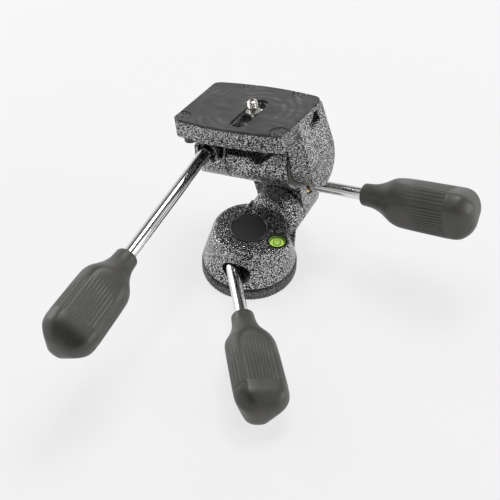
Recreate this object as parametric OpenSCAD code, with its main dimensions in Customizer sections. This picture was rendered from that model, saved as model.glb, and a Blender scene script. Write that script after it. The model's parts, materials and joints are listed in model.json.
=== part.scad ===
// Three way pan and tilt head for a tripod: a round base with a threaded insert, a cone shaped
// pan body with a bubble level, an elbow that leans sideways, and a platform that tips fore and aft.
// Origin: middle of the base's underside. +Z up, +X along the platform's long side, +Y the way a
// camera on it looks. All sizes in millimetres, all angles in degrees.

/* [Base] */
// Diameter over the ribs of the base disc
base_d = 60; // [54:1:70]
// Height of the base disc
base_h = 7.6; // [6.5:0.1:10]
// Ribs round the edge of the base disc
base_ribs = 90; // [60:1:120]
// Depth of the grooves between those ribs
rib_depth = 0.45; // [0.2:0.05:0.7]
// Inner diameter of the threaded insert, for a 3/8 inch tripod bolt
insert_bore_d = 7.94; // [6:0.02:9]
// Outer diameter of the threaded insert
insert_d = 13; // [12:0.1:14]
// Length of the threaded insert
insert_h = 10.4; // [9:0.1:12]

/* [Pan body] */
// Diameter of the spindle that the pan body turns on
spindle_d = 18; // [16:0.1:19]
// Height of the pan body's flat top above the ground
pan_top = 33; // [32:0.1:36]
// Diameter at the foot of the cone
cone_foot_d = 58.4; // [54:0.1:60]
// Diameter at the head of the cone
cone_head_d = 46.2; // [45:0.1:50]
// Rounding of the cone's upper edge
cone_round = 2.4; // [1:0.1:3]
// Diameter of the cap over the spindle
cap_d = 24.4; // [23.4:0.1:25]
// How far the cap's rim stands above the flat top
cap_rise = 0.9; // [0.4:0.1:2]
// Outer diameter of the level's cup
level_d = 12.4; // [11:0.1:13]
// Distance of the level from the pan axis
level_reach = 20.2; // [19.5:0.1:21.5]
// Direction of the level, anticlockwise from +X
level_angle = -5.7; // [-12:0.1:0]

/* [Leaning joint] */
// Sideways offset of the leaning axis from the pan axis
lean_x = 8; // [7:0.1:9]
// Height of the leaning axis above the ground
lean_z = 31; // [30:0.1:32]
// Radius of the two barrels that meet at the leaning axis
lean_r = 16.2; // [15.5:0.1:17]
// Where the barrel on the pan body starts, ahead of the pan axis
stem_front_y = 13.2; // [13:0.1:15]
// Where the two barrels meet
lean_face_y = 27.2; // [27:0.1:28]
// Where the elbow's barrel ends
elbow_back_y = 51; // [50.5:0.1:53]
// Diameter of both tilt shafts
shaft_d = 13; // [12:0.1:13.6]
// Angle that the elbow leans at, right side up
lean_angle = 11.6; // [-30:0.1:60]

/* [Tipping joint] */
// Height of the tipping axis above the leaning axis
tip_rise = 39.2; // [38.5:0.1:42]
// Distance of the tipping axis ahead of the pan axis
tip_y = 29.1; // [28.5:0.1:30]
// Radius of the elbow's upper barrel
tip_r = 17; // [16:0.1:17.4]
// Left end of that barrel, from the pan axis
barrel_left = -14.4; // [-15:0.1:-13.5]
// Right end of that barrel, from the pan axis
barrel_right = 27; // [26:0.1:28]
// Angle that the platform tips at, back up
tip_angle = 8.6; // [-30:0.1:60]

/* [Platform] */
// Width of the platform
plate_w = 73.7; // [72:0.1:80]
// Depth of the platform at its corners
plate_d = 50.5; // [48:0.1:56]
// Height of the pad's top above the tipping axis
plate_top = 35.2; // [34.5:0.1:38]
// Thickness of the rubber pad
pad_t = 1.5; // [1:0.1:2]
// Height of the platform's skirt
skirt_h = 10.4; // [9:0.1:11]
// Thickness of the platform's walls
wall = 3.2; // [2.4:0.1:4]
// Thickness of the platform's top
top_t = 4; // [3:0.1:5]
// How far the long edges bow outward
plate_bow = 3.6; // [2:0.1:5]
// Outer face of the left cheek, from the pan axis
left_cheek_x = -36.6; // [-37.2:0.1:-36]
// Outer face of the right cheek, from the pan axis
right_cheek_x = 42; // [41.5:0.1:43]
// Major diameter of the camera screw, 1/4 inch
screw_d = 6.35; // [5:0.05:7]
// How far the camera screw stands above the pad
screw_out = 5.1; // [4:0.1:8]
// Length of the slot for the camera screw, between the middles of its ends
slot_l = 25; // [16:0.5:26]

/* [Handles] */
// Diameter of the handle rods
rod_d = 8; // [7:0.1:8.6]
// Diameter of the threaded end of the rods
thread_d = 6; // [5:0.1:6.4]
// Length of a grip
grip_l = 73.6; // [70:0.1:90]
// Largest radius of a grip, at its three rounded corners
grip_r = 17; // [16:0.1:17.6]
// Distance of a grip's three flats from its axis
grip_flat = 13; // [12.4:0.1:14.8]
// Radius of a grip's neck
neck_r = 7.7; // [7:0.1:8.5]
// From the clamp to the grip's neck, on the pan handle
pan_reach = 56.8; // [50:0.1:80]
// From the clamp to the grip's neck, on the leaning handle
lean_reach = 52.2; // [48:0.1:80]
// From the clamp to the grip's neck, on the tipping handle
tip_reach = 110.6; // [100:0.1:140]
// Direction of the pan handle, anticlockwise from +X
pan_handle_angle = -52.7; // [-60:0.1:-46]
// Droop of the pan handle
pan_handle_droop = 1.4; // [0:0.1:2]
// Droop of the tipping handle below the platform's own plane
tip_handle_droop = 11.6; // [0:0.1:16]
// Angle that the pan grip is screwed home at
pan_grip_roll = 16; // [-60:1:60]
// Angle that the leaning grip is screwed home at
lean_grip_roll = -28; // [-60:1:60]
// Angle that the tipping grip is screwed home at
tip_grip_roll = -40; // [-60:1:60]

/* [Clamps] */
// Diameter of the split clamp pieces
cotter_d = 11; // [10:0.1:11.4]
// Length of each clamp piece
cotter_l = 10.8; // [9:0.1:11.2]
// Offset of the pan clamp from the pan axis
pan_clamp_offset = 13.9; // [13.6:0.1:14.2]
// Offset of the tilt clamps from their axes
tilt_clamp_offset = 11; // [10.8:0.1:11.6]
// Height of the pan clamp above the ground
pan_clamp_z = 20; // [19.8:0.1:20.4]
// Place of the leaning clamp along its axis
lean_clamp_y = 41.1; // [40.5:0.1:41.5]
// Place of the tipping clamp along its axis
tip_clamp_x = -26; // [-27:0.1:-25.5]

/* [Fits] */
// Radial clearance of a turning fit
run_fit = 0.05; // [0.02:0.01:0.1]
// Gap between faces that turn against a washer
face_gap = 0.15; // [0.1:0.05:0.3]
// Radial clearance of a loosely placed piece
loose_fit = 0.3; // [0.2:0.05:0.4]
// Thickness of the plastic slip washers
slip_t = 0.5; // [0.4:0.05:0.8]

/* [Hidden] */
fine = 96;
eps = 0.01;
past = 110;
key_r = 2.5;
key_fit = 0.05;
spindle_r = spindle_d / 2;
shaft_r = shaft_d / 2;
cotter_r = cotter_d / 2;
rod_r = rod_d / 2;
thread_r = thread_d / 2;
base_r = base_d / 2;
insert_r = insert_d / 2;
cap_r = cap_d / 2;
level_r = level_d / 2;

// base and spindle, from the ground up
flange_t = 3;
flange_r = 22;
flange_screw_r = 17;
flange_screws = 3;
flange_screw_d = 3;
pan_foot = base_h + slip_t + 2 * face_gap;
nut_t = 2.6;
wave_t = 0.6;
nut_af = 19;
cap_seat_t = 1.6;
nut_floor = pan_top - cap_seat_t - face_gap - nut_t - wave_t - 2 * face_gap;
nut_z = nut_floor + wave_t + 2 * face_gap;
nut_room_r = 11.5;
spindle_thread_r = 7.5;
spindle_top = nut_z + nut_t - face_gap;
slip_rim = 3;

// level in its lobe
level_x = level_reach * cos(level_angle);
level_y = level_reach * sin(level_angle);
lobe_r = level_r + 2.2;
level_depth = 6.6;
level_wall = 0.9;
vial_drop = 1.3;

// handles: distances along a rod from the point closest to the shaft
cotter_start = 1;
cotter_end = cotter_start + cotter_l;
collar_start = cotter_end + face_gap;
collar_l = 3.2;
collar_r = 5.3;
shoulder = collar_start + collar_l + face_gap;
lock_travel = 1;
far_bore_end = cotter_end + lock_travel + 0.6;
rod_in_grip = 40;
core_l = 60;
core_wall = 1.6;
flare_from = 0.13;
flare_to = 0.34;
crown_round = 9.6;
crown_rise = 0.7;
crown_from = 1 - (crown_round + crown_rise) / grip_l;
body_steps = 40;

// leaning joint
stem_round = 6.5;
fillet_r = 4;
cone_round_steps = 5;
horn_floor = cotter_end + 1.4;
horn_r = 4.9;
horn_reach = 4.6;
stem_hole_y = stem_front_y + 2;
key_y = (stem_front_y + lean_face_y) / 2;
elbow_face_y = lean_face_y + slip_t + 2 * face_gap;
lean_shaft_end = lean_clamp_y + cotter_r + 0.2;
end_washer_t = 1.2;
end_washer_r = 9;
end_screw_r = 4.5;
end_screw_t = 1.4;
end_thread_r = 2.5;
end_bore_l = 12;
end_cap_t = 1.4;
end_cap_r = end_washer_r + loose_fit + 1;

// tipping joint, in the platform's own frame
shelf_z = 8.1;
shelf_back = 4;
dip_x = 7.4;
dip_z = 5.4;
dip_left = 9;
dip_flat = 4;
sleeve_r = 8.8;
left_inner_x = barrel_left - slip_t - 2 * face_gap;
right_inner_x = barrel_right + slip_t + 2 * face_gap;
bush_wall = 2;
bush_l = 9.6;
tip_shaft_left = left_cheek_x + 4.7;
tip_shaft_right = right_inner_x + bush_l;
tip_cap_r = 9.4;
tip_cap_t = 1.1;
tip_key_x = 12;
tip_key_bite = 1.2;
boss_r = 8.4;
boss_end = shoulder + 2.2;

// platform
plate_x = -0.7;
plate_y = -7.4;
cast_top = plate_top - pad_t;
skirt_z = cast_top - skirt_h;
plate_left = plate_x - plate_w / 2;
plate_right = plate_x + plate_w / 2;
plate_front = plate_y - plate_d / 2;
plate_back = plate_y + plate_d / 2;
bow_r = (plate_w * plate_w / 4 + plate_bow * plate_bow) / (2 * plate_bow);
corner_r = 2.6;
ear_rise = pad_t - 0.25;
ear_r = 5.2;
ear_places = [
    [plate_left + 4, plate_front + 4.4],
    [plate_right - 4.2, plate_front + 3.8],
    [plate_x - 11.4, plate_back + 1.6],
    [plate_x + 23, plate_back + 0.4]
];
slot_x = plate_x + 5;
slot_y = plate_y - 6.2;
pad_slot_r = 5.4;
cast_slot_r = screw_d / 2 + 0.7;
screw_y = plate_y - 1.7;
cheek_front = -13.8;
cheek_back = 17.4;
leaf_y = 2.2;
leaf_z = 0.6;
leaf_r = 15.6;
leaf_slope_z = 6;
leaf_slope = atan((right_cheek_x - plate_right - 0.02) / (cast_top - 1 - leaf_slope_z));
window_floor = plate_right - 3.4;
relief_w = 2.6;
relief_z = 3;
relief_x = left_inner_x - 4;
clip_t = 0.8;
screw_neck_r = screw_d / 2 - 0.5;
screw_lip = 0.3;
screw_crown = 1.2;
guide_t = 1.6;
guide_r = 7.4;
hub_r = 8;
hub_t = 4.4;
hub_z = 18.4;
lever_l = 42;
lever_t = 3.2;
lever_angle = 207;
lever_w = 5.2;
lever_tip_r = 4.2;

// ---------------------------------------------------------------- frames

// The elbow's frame: origin on the leaning axis, x from that axis, y as the part's
module elbow_frame()
    translate([lean_x, 0, lean_z]) rotate([0, -lean_angle, 0]) children();

// The platform's frame: origin on the tipping axis, x from the pan axis
module plate_frame()
    elbow_frame() translate([-lean_x, tip_y, tip_rise]) rotate([-tip_angle, 0, 0]) children();

// A clamp's frame: x runs out along the rod from the point closest to the shaft, the shaft is
// parallel to y and lies below, at z = -offset
module pan_clamp_frame()
    translate([0, 0, pan_clamp_z]) rotate([90, 0, pan_handle_angle])
        rotate([0, 0, -pan_handle_droop]) translate([0, 0, pan_clamp_offset]) children();

module lean_clamp_frame()
    elbow_frame() translate([0, lean_clamp_y, tilt_clamp_offset]) children();

module tip_clamp_frame()
    plate_frame() translate([tip_clamp_x, 0, 0]) rotate([tip_handle_droop, 0, 0])
        rotate([0, 0, -90]) translate([0, 0, tilt_clamp_offset]) children();

// ---------------------------------------------------------------- helpers

// Round bar along x from a to b
module bar_x(a, b, r)
    translate([a, 0, 0]) rotate([0, 90, 0]) cylinder(h = b - a, r = r, $fn = fine);

// Round bar along y from a to b
module bar_y(a, b, r)
    translate([0, b, 0]) rotate([90, 0, 0]) cylinder(h = b - a, r = r, $fn = fine);

// Ring standing on z = 0
module ring(h, r_out, r_in)
    difference() {
        cylinder(h = h, r = r_out, $fn = fine);
        translate([0, 0, -1]) cylinder(h = h + 2, r = r_in, $fn = fine);
    }

// Ring along x from a to b
module ring_x(a, b, r_out, r_in)
    difference() {
        bar_x(a, b, r_out);
        bar_x(a - 1, b + 1, r_in);
    }

// Points of an arc in a plane, from angle a0 to a1
function arc(c, r, a0, a1, n = 8) =
    [for (i = [0:n]) c + r * [cos(a0 + (a1 - a0) * i / n), sin(a0 + (a1 - a0) * i / n)]];

// Extrudes an outline drawn in y and z along x from a to b
module side_slab(a, b)
    translate([a, 0, 0]) rotate([90, 0, 90]) linear_extrude(height = b - a) children();

// Extrudes an outline drawn in x and z along y from a to b
module front_slab(a, b)
    translate([0, b, 0]) rotate([90, 0, 0]) linear_extrude(height = b - a) children();

// ---------------------------------------------------------------- base

module base_outline()
    polygon([for (i = [0:2 * base_ribs - 1])
        (base_r - rib_depth * (i % 2)) * [cos(i * 180 / base_ribs), sin(i * 180 / base_ribs)]]);

module at_flange_screws()
    for (i = [0:flange_screws - 1])
        rotate([0, 0, 90 + i * 360 / flange_screws]) translate([flange_screw_r, 0, 0]) children();

module base_disc()
    color("dimgray") difference() {
        union() {
            linear_extrude(height = base_h - 1) base_outline();
            translate([0, 0, base_h - 1 - eps])
                cylinder(h = 1 + eps, r = base_r - rib_depth - 0.2, $fn = fine);
        }
        translate([0, 0, base_h - flange_t]) cylinder(h = flange_t + 1, r = flange_r + run_fit, $fn = fine);
        translate([0, 0, -1]) cylinder(h = base_h, r = insert_r + run_fit, $fn = fine);
        at_flange_screws() {
            translate([0, 0, -1]) cylinder(h = base_h, r = flange_screw_d / 2 + 0.2, $fn = 24);
            translate([0, 0, -eps])
                cylinder(h = 1.8, r1 = flange_screw_d, r2 = flange_screw_d / 2, $fn = 24);
        }
    }

module thread_insert()
    color("gainsboro") ring(insert_h, insert_r, insert_bore_d / 2);

module pan_spindle()
    color("silver") difference() {
        union() {
            translate([0, 0, base_h - flange_t]) cylinder(h = flange_t, r = flange_r, $fn = fine);
            translate([0, 0, base_h - eps])
                cylinder(h = nut_floor - face_gap - base_h, r = spindle_r, $fn = fine);
            translate([0, 0, base_h]) cylinder(h = spindle_top - base_h, r = spindle_thread_r, $fn = fine);
        }
        translate([0, 0, -1]) cylinder(h = insert_h + 1 + face_gap, r = insert_r + run_fit, $fn = fine);
        at_flange_screws() cylinder(h = base_h + 1, r = flange_screw_d / 2, $fn = 24);
    }

module spindle_screws()
    color("gray") at_flange_screws() difference() {
        union() {
            translate([0, 0, 0.3])
                cylinder(h = 1.2, r1 = flange_screw_d - 0.45, r2 = flange_screw_d / 2 - 0.02, $fn = 24);
            translate([0, 0, 1]) cylinder(h = base_h - 1.6, r = flange_screw_d / 2 - 0.02, $fn = 24);
        }
        cylinder(h = 1.2, r = 1, $fn = 6);
    }

module pan_slip_washer()
    color("ivory") translate([0, 0, base_h + face_gap])
        ring(slip_t, cone_foot_d / 2 - slip_rim, spindle_r + loose_fit);

module pan_wave_washer()
    color("lightgray") translate([0, 0, nut_floor + face_gap])
        ring(wave_t, spindle_r + 1.6, spindle_thread_r + loose_fit);

module pan_nut()
    color("goldenrod") translate([0, 0, nut_z]) difference() {
        cylinder(h = nut_t, r = nut_af / 2 / cos(30), $fn = 6);
        translate([0, 0, -1]) cylinder(h = nut_t + 2, r = spindle_thread_r + run_fit, $fn = fine);
    }

// ---------------------------------------------------------------- pan body

// One slice of the cone and of the lobe that holds the level, drawn in by inset
module cone_slice(z, inset) {
    translate([0, 0, z]) cylinder(h = 0.02, r = cone_head_d / 2 - inset, $fn = 80);
    translate([level_x, level_y, z]) cylinder(h = 0.02, r = lobe_r - inset, $fn = 40);
}

// The outside of the cone: a round foot drawn up into the round head and its lobe
module cone_body()
    hull() {
        translate([0, 0, pan_foot]) cylinder(h = 1, r = cone_foot_d / 2, $fn = 80);
        for (i = [0:cone_round_steps])
            let (a = 90 * i / cone_round_steps)
                cone_slice(pan_top - 0.02 - cone_round * (1 - sin(a)), cone_round * (1 - cos(a)));
    }

// The barrel on the pan body, with its rounded front edge
module stem()
    translate([lean_x, 0, lean_z]) rotate([-90, 0, 0]) rotate_extrude($fn = fine)
        polygon(concat(
            [[0, lean_face_y], [lean_r, lean_face_y]],
            arc([lean_r - stem_round, stem_front_y + stem_round], stem_round, 0, -90),
            [[0, stem_front_y]]));

// Walls that carry the barrel down to the cone's foot
module stem_web()
    intersection() {
        front_slab(stem_front_y + 3, lean_face_y - 0.6)
            polygon([[lean_x - lean_r, lean_z], [lean_x + lean_r, lean_z],
                     [lean_x + lean_r - 1.4, pan_foot], [lean_x - lean_r - 1.2, pan_foot]]);
        translate([0, 0, pan_foot]) cylinder(h = lean_z, r = cone_foot_d / 2, $fn = fine);
    }

// Fillet where the barrel's left side meets the cone's flat top
module stem_fillet()
    intersection() {
        front_slab(stem_front_y + 2, lean_face_y - 0.6) difference() {
            translate([lean_x - lean_r - fillet_r, pan_top - 1]) square([fillet_r + 2, fillet_r + 1]);
            translate([lean_x - lean_r - fillet_r, pan_top + fillet_r]) circle(r = fillet_r, $fn = fine);
        }
        cylinder(h = pan_top + fillet_r, r = cone_head_d / 2 - cone_round, $fn = fine);
    }

// The pocket that the pan handle comes out of: round about the rod, and drawn out to one side
module horn_pocket()
    translate([horn_floor, 0, 0]) rotate([90, 0, 90]) linear_extrude(height = 20) union() {
        circle(r = horn_r, $fn = fine);
        translate([-0.5, -horn_reach]) circle(r = horn_r + 0.5, $fn = fine);
        polygon([[horn_r - 0.2, 0], [horn_r - 0.2, -horn_reach], [-5, -horn_reach - 3.4],
                 [-6.6, -horn_reach - 2.4], [-5.4, -horn_reach + 1], [-horn_r + 0.2, 0]]);
    }

module pan_body()
    color("darkgray") difference() {
        union() {
            cone_body();
            stem();
            stem_web();
            stem_fillet();
        }
        translate([0, 0, -1]) cylinder(h = nut_floor + 2, r = spindle_r + run_fit, $fn = fine);
        translate([0, 0, nut_floor]) cylinder(h = pan_top, r = nut_room_r, $fn = fine);
        translate([0, 0, pan_top - cap_seat_t]) cylinder(h = pan_top, r = cap_r + run_fit, $fn = fine);
        translate([level_x, level_y, pan_top - level_depth])
            cylinder(h = pan_top, r = level_r + run_fit, $fn = fine);
        translate([lean_x, 0, lean_z]) bar_y(stem_hole_y, elbow_back_y, shaft_r + run_fit);
        translate([lean_x, 0, lean_z]) bar_y(lean_face_y, elbow_back_y + 5, lean_r + face_gap);
        translate([lean_x, key_y, pan_foot - 1]) cylinder(h = lean_z - pan_foot, r = key_r, $fn = fine);
        pan_clamp_frame() bar_x(-far_bore_end, past, cotter_r + run_fit);
        pan_clamp_frame() horn_pocket();
    }

module pan_cap()
    color("#1c1c1c") translate([0, 0, pan_top - cap_seat_t]) rotate_extrude($fn = fine)
        polygon(concat(
            [[0, 0], [cap_r, 0]],
            arc([cap_r - 0.8, cap_seat_t + cap_rise - 0.8], 0.8, 0, 90, 4),
            [[cap_r - 1.1, cap_seat_t + cap_rise], [cap_r - 1.5, cap_seat_t + cap_rise - 0.4],
             [0, cap_seat_t + cap_rise - 0.2]]));

module level_cup()
    color("#26262a") translate([level_x, level_y, pan_top - level_depth]) difference() {
        cylinder(h = level_depth + 0.3, r = level_r, $fn = fine);
        translate([0, 0, level_wall]) cylinder(h = level_depth + 1, r = level_r - level_wall, $fn = fine);
    }

module level_vial()
    color("yellowgreen") translate([level_x, level_y, pan_top - level_depth + level_wall])
        cylinder(h = level_depth - level_wall - vial_drop - 1, r = level_r - level_wall - run_fit,
                 $fn = fine);

module level_lens()
    color("greenyellow", 0.5) translate([level_x, level_y, pan_top - vial_drop - 1 + face_gap]) union() {
        cylinder(h = 1, r = level_r - level_wall - run_fit, $fn = fine);
        translate([0, 0, 1]) ring(0.25, 2.6, 2.1);
    }

module lean_shaft()
    color("silver") translate([lean_x, 0, lean_z]) difference() {
        bar_y(stem_hole_y, lean_shaft_end, shaft_r);
        bar_y(lean_shaft_end - end_bore_l, lean_shaft_end + 1, end_thread_r);
        translate([0, key_y, -lean_z]) cylinder(h = lean_z - 2, r = key_r, $fn = fine);
    }

// Pin from below that keeps the leaning shaft from turning in the pan body
module lean_shaft_key()
    color("gray") translate([lean_x, key_y, pan_foot + 3])
        cylinder(h = lean_z - 2.2 - pan_foot - 3, r = key_r - key_fit, $fn = fine);

module end_washer() ring(end_washer_t, end_washer_r, end_thread_r + loose_fit);

module end_screw()
    difference() {
        union() {
            rotate_extrude($fn = fine) polygon(concat(
                [[0, 0], [end_screw_r, 0]],
                arc([end_screw_r - 1.2, end_screw_t - 1.2], 1.2, 0, 90, 4),
                [[0, end_screw_t]]));
            translate([0, 0, -10]) cylinder(h = 10 + eps, r = end_thread_r - 0.02, $fn = fine);
        }
        translate([0, 0, 0.5]) cylinder(h = 3, r = 1.7, $fn = 6);
    }

module lean_end_washer()
    color("lightgray") translate([lean_x, lean_shaft_end, lean_z]) rotate([-90, 0, 0]) end_washer();

module lean_end_screw()
    color("gray") translate([lean_x, lean_shaft_end + end_washer_t, lean_z]) rotate([-90, 0, 0])
        end_screw();

// ---------------------------------------------------------------- clamps and handles

// One half of a clamp: a plug with a hollow for the shaft, and a hole for the rod
module cotter(a, b, hole_r, shaft, offset)
    difference() {
        bar_x(a, b, cotter_r);
        translate([0, 0, -offset]) bar_y(-20, 20, shaft + loose_fit);
        bar_x(a - 1, b + 1, hole_r);
    }

module near_cotter(shaft, offset)
    color("gray") cotter(cotter_start, cotter_end, thread_r + loose_fit, shaft, offset);

module far_cotter(shaft, offset)
    color("gray") cotter(-cotter_end, -cotter_start, thread_r + run_fit, shaft, offset);

module rod(reach)
    color("gainsboro") union() {
        bar_x(-cotter_end, shoulder + eps, thread_r);
        bar_x(shoulder, reach + rod_in_grip, rod_r);
    }

module collar()
    color("goldenrod") ring_x(collar_start, collar_start + collar_l, collar_r, thread_r + loose_fit);

// Radius of a grip at a share t of its length: slim neck, flare, long swelling body
function grip_radius(t) =
    t < flare_from ? neck_r * (0.86 + 0.22 * t / flare_from)
    : t < flare_to ? neck_r * 1.08 + (grip_r * 0.92 - neck_r * 1.08)
        * (0.5 - 0.5 * cos(180 * (t - flare_from) / (flare_to - flare_from)))
    : grip_r * (0.92 + 0.08 * sin(90 * (t - flare_to) / (crown_from - flare_to)));

module grip_core(reach)
    color("#202020") ring_x(reach, reach + core_l, rod_r + run_fit + core_wall, rod_r + run_fit);

// A turned grip with three long flats, so that it has three rounded corners
module grip(reach, roll)
    color("#4a4a45") difference() {
        translate([reach, 0, 0]) rotate([90, 0, 90]) rotate_extrude($fn = fine)
            polygon(concat(
                [[0, 0], [neck_r * 0.76, 0]],
                [for (i = [1:body_steps]) let (t = crown_from * i / body_steps)
                    [grip_radius(t), grip_l * t]],
                arc([grip_r - crown_round, grip_l * crown_from], crown_round, 7.5, 82.5, 10),
                [[0, grip_l]]));
        for (k = [0:2])
            rotate([roll + 120 * k, 0, 0]) translate([reach - 1, -past / 2, grip_flat])
                cube([past, past, past]);
        bar_x(reach - 1, reach + core_l + 0.2, rod_r + core_wall + 2 * run_fit);
    }

module pan_near_cotter() pan_clamp_frame() near_cotter(spindle_r, pan_clamp_offset);
module pan_far_cotter() pan_clamp_frame() far_cotter(spindle_r, pan_clamp_offset);
module pan_rod() pan_clamp_frame() rod(pan_reach);
module pan_collar() pan_clamp_frame() collar();
module pan_grip_core() pan_clamp_frame() grip_core(pan_reach);
module pan_grip() pan_clamp_frame() grip(pan_reach, pan_grip_roll);

module lean_near_cotter() lean_clamp_frame() near_cotter(shaft_r, tilt_clamp_offset);
module lean_far_cotter() lean_clamp_frame() far_cotter(shaft_r, tilt_clamp_offset);
module lean_rod() lean_clamp_frame() rod(lean_reach);
module lean_collar() lean_clamp_frame() collar();
module lean_grip_core() lean_clamp_frame() grip_core(lean_reach);
module lean_grip() lean_clamp_frame() grip(lean_reach, lean_grip_roll);

module tip_near_cotter() tip_clamp_frame() near_cotter(shaft_r, tilt_clamp_offset);
module tip_far_cotter() tip_clamp_frame() far_cotter(shaft_r, tilt_clamp_offset);
module tip_rod() tip_clamp_frame() rod(tip_reach);
module tip_collar() tip_clamp_frame() collar();
module tip_grip_core() tip_clamp_frame() grip_core(tip_reach);
module tip_grip() tip_clamp_frame() grip(tip_reach, tip_grip_roll);

// ---------------------------------------------------------------- elbow

// The upper barrel: a round bar whose front is cut down to a low wall with a dip in its top edge,
// so that the sleeve round the shaft shows behind it
module upper_barrel()
    difference() {
        bar_x(barrel_left, barrel_right, tip_r);
        difference() {
            front_slab(-tip_r - 5, shelf_back) shelf_outline();
            bar_x(barrel_left - 10, barrel_right + 10, sleeve_r);
        }
    }

// What is cut off the barrel, seen from the front: its lower edge is the top edge of the wall
module shelf_outline()
    polygon(concat(
        [[barrel_left - 5, tip_r + 5], [barrel_left - 5, shelf_z]],
        [for (i = [0:8]) let (a = 90 * i / 8)
            [dip_x - dip_left + (dip_left - dip_flat / 2) * sin(a), dip_z + (shelf_z - dip_z) * cos(a)]],
        [[dip_x + dip_flat / 2, dip_z], [barrel_right + eps, tip_r + 1.6],
         [barrel_right + eps, tip_r + 5]]));

// The neck between the barrels, the overlap of a side view and a front view
module neck()
    intersection() {
        side_slab(-past / 2, past / 2) union() {
            translate([tip_y, tip_rise]) circle(r = tip_r - 1, $fn = fine);
            polygon([[elbow_face_y, 0], [elbow_face_y, 17], [elbow_face_y - 3.4, 25],
                     [tip_y - 2, tip_rise - 6], [tip_y, tip_rise], [tip_y + tip_r - 1, tip_rise],
                     [elbow_back_y - 1, 17], [elbow_back_y, 9], [elbow_back_y, 0]]);
        }
        front_slab(0, past)
            polygon([[-lean_r + 0.6, 0], [-lean_r + 0.4, 8], [-lean_r - 0.2, 15], [-lean_r - 1.6, 23],
                     [-lean_r - 3, tip_rise], [barrel_right - lean_x, tip_rise],
                     [barrel_right - lean_x, 27], [lean_r + 0.6, 18], [lean_r, 8], [lean_r, 0]]);
    }

// The lower barrel with its rounded back edge
module lower_barrel()
    rotate([-90, 0, 0]) rotate_extrude($fn = fine)
        polygon(concat(
            [[0, elbow_face_y], [lean_r, elbow_face_y]],
            arc([lean_r - 2, elbow_back_y - 2], 2, 0, 90, 4),
            [[0, elbow_back_y]]));

module elbow()
    color("darkgray") difference() {
        elbow_frame() difference() {
            union() {
                lower_barrel();
                neck();
                translate([-lean_x, tip_y, tip_rise]) upper_barrel();
            }
            bar_y(0, elbow_back_y + 5, shaft_r + run_fit);
            bar_y(lean_shaft_end - face_gap, elbow_back_y + 5, end_washer_r + loose_fit);
            bar_y(elbow_back_y - end_cap_t, elbow_back_y + 5, end_cap_r + run_fit);
            translate([0, tip_y, tip_rise]) bar_x(-past / 2, past / 2, shaft_r + run_fit);
            translate([tip_key_x, tip_y, tip_rise]) bar_y(shaft_r - 1, tip_r + 5, key_r);
        }
        lean_clamp_frame() bar_x(-far_bore_end, past, cotter_r + run_fit);
        lean_clamp_frame() bar_x(cotter_end + 0.4, past, cotter_r + 0.8);
    }

module lean_slip_washer()
    color("ivory") elbow_frame() translate([0, lean_face_y + face_gap, 0]) rotate([-90, 0, 0])
        ring(slip_t, lean_r - 2, shaft_r + loose_fit);

module lean_end_cap()
    color("#1c1c1c") elbow_frame() translate([0, elbow_back_y, 0]) rotate([-90, 0, 0])
        translate([0, 0, -end_cap_t]) rotate_extrude($fn = fine) polygon(concat(
            [[0, 0], [end_cap_r, 0]],
            arc([end_cap_r - 1, end_cap_t], 1, 0, 90, 4),
            [[0, end_cap_t + 1]]));

module tip_shaft()
    color("silver") difference() {
        plate_frame() difference() {
            bar_x(tip_shaft_left, tip_shaft_right, shaft_r);
            bar_x(tip_shaft_left - 1, tip_shaft_left + end_bore_l, end_thread_r);
        }
        elbow_frame() translate([tip_key_x, tip_y, tip_rise])
            bar_y(shaft_r - tip_key_bite, tip_r, key_r);
    }

// Set screw that keeps the tipping shaft from turning in the elbow
module tip_shaft_key()
    color("gray") elbow_frame() translate([tip_key_x, tip_y, tip_rise]) difference() {
        bar_y(shaft_r - tip_key_bite + face_gap, tip_r - 1.5, key_r - key_fit);
        translate([0, tip_r, 0]) rotate([90, 0, 0]) cylinder(h = 4, r = 1.4, $fn = 6);
    }

module tip_slip_washers()
    color("ivory") plate_frame() {
        ring_x(barrel_left - face_gap - slip_t, barrel_left - face_gap, tip_r - 1.6, shaft_r + loose_fit);
        ring_x(barrel_right + face_gap, barrel_right + face_gap + slip_t, tip_r - 1.6, shaft_r + loose_fit);
    }

module tip_end_washer()
    color("lightgray") plate_frame() translate([tip_shaft_left, 0, 0]) rotate([0, -90, 0]) end_washer();

module tip_end_screw()
    color("gray") plate_frame() translate([tip_shaft_left - end_washer_t, 0, 0]) rotate([0, -90, 0])
        end_screw();

// ---------------------------------------------------------------- platform

// Outline of the platform from above, its long edges bowed and its corners round, drawn in by inset
module plate_outline(inset)
    difference() {
        intersection() {
            translate([plate_left + inset, plate_front - 20])
                square([plate_w - 2 * inset, plate_d + 40]);
            translate([plate_x, plate_front - plate_bow + bow_r]) circle(r = bow_r - inset, $fn = 240);
            translate([plate_x, plate_back + plate_bow - bow_r]) circle(r = bow_r - inset, $fn = 240);
        }
        for (sx = [-1, 1], sy = [-1, 1])
            translate([plate_x + sx * (plate_w / 2 - inset), plate_y + sy * (plate_d / 2 - inset)])
                corner_cut(sx, sy);
    }

// What is cut off a corner to round it
module corner_cut(sx, sy)
    difference() {
        translate([sx > 0 ? -corner_r : -1, sy > 0 ? -corner_r : -1]) square([corner_r + 1, corner_r + 1]);
        translate([-sx * corner_r, -sy * corner_r]) circle(r = corner_r, $fn = fine);
    }

module slot_outline(r) {
    for (s = [-1, 1])
        translate([slot_x, slot_y + s * slot_l / 2]) circle(r = r, $fn = fine);
    translate([slot_x - r, slot_y - slot_l / 2]) square([2 * r, slot_l]);
}

module ears(r)
    intersection() {
        for (p = ear_places)
            translate(p) circle(r = r, $fn = fine);
        plate_outline(0);
    }

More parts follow.
